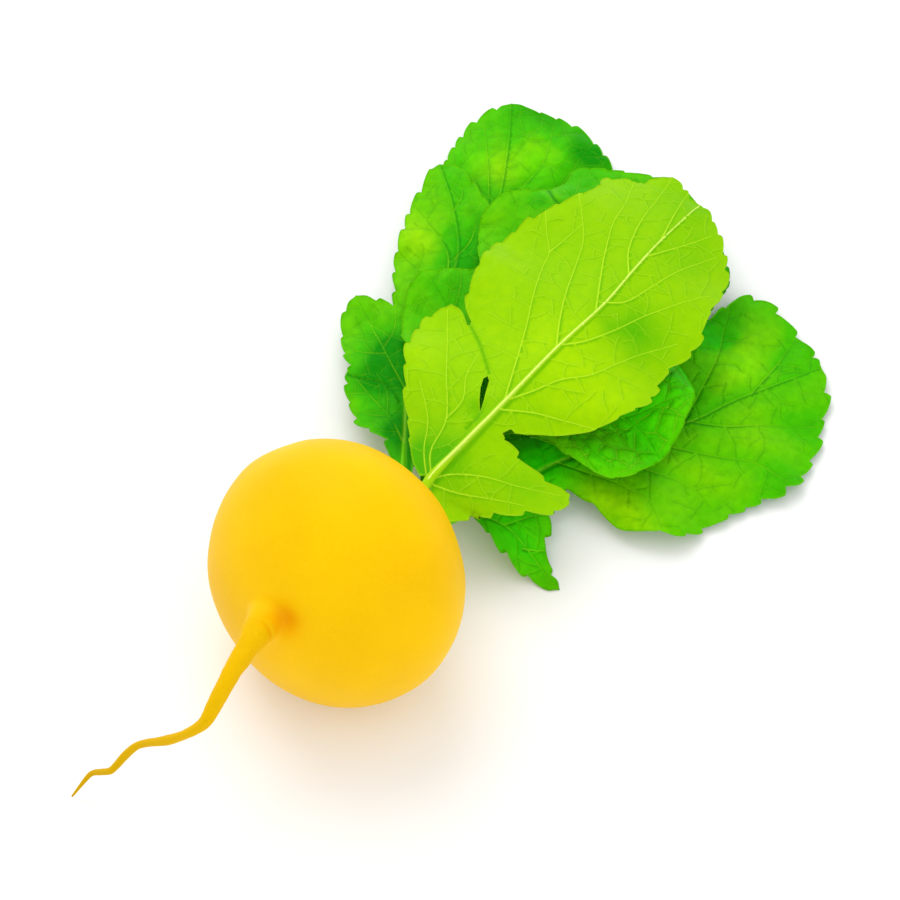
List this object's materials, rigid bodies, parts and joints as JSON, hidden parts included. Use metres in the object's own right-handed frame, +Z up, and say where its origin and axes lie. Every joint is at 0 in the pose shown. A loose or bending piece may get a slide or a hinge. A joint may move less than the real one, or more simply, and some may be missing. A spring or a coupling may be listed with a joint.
{
  "type": "rutabaga",
  "caption": "Small yellow rutabaga with a bent taproot and a bunch of green lobed leaves, lying on its side on a flat spot.",
  "frame": {"origin": "middle of the flat spot under the bulb, on the surface it lies on", "axes": "+X from the taproot side along the leaves to their tips, +Y to the left of the leaves, +Z up"},
  "size_m": [0.2968, 0.1737, 0.0806],
  "materials": {
    "root_skin": "satin yellow skin of the root",
    "leaf_underside": "matt pale green underside of a leaf",
    "leaf_upper_side": "matt green upper side of a leaf"
  },
  "bodies": {
    "root": {"root": "root_skin", "leaf_top": "leaf_underside", "leaf_middle": "leaf_upper_side", "leaf_left": "leaf_upper_side", "leaf_back": "leaf_upper_side", "leaf_right": "leaf_upper_side"}
  },
  "joints": []
}
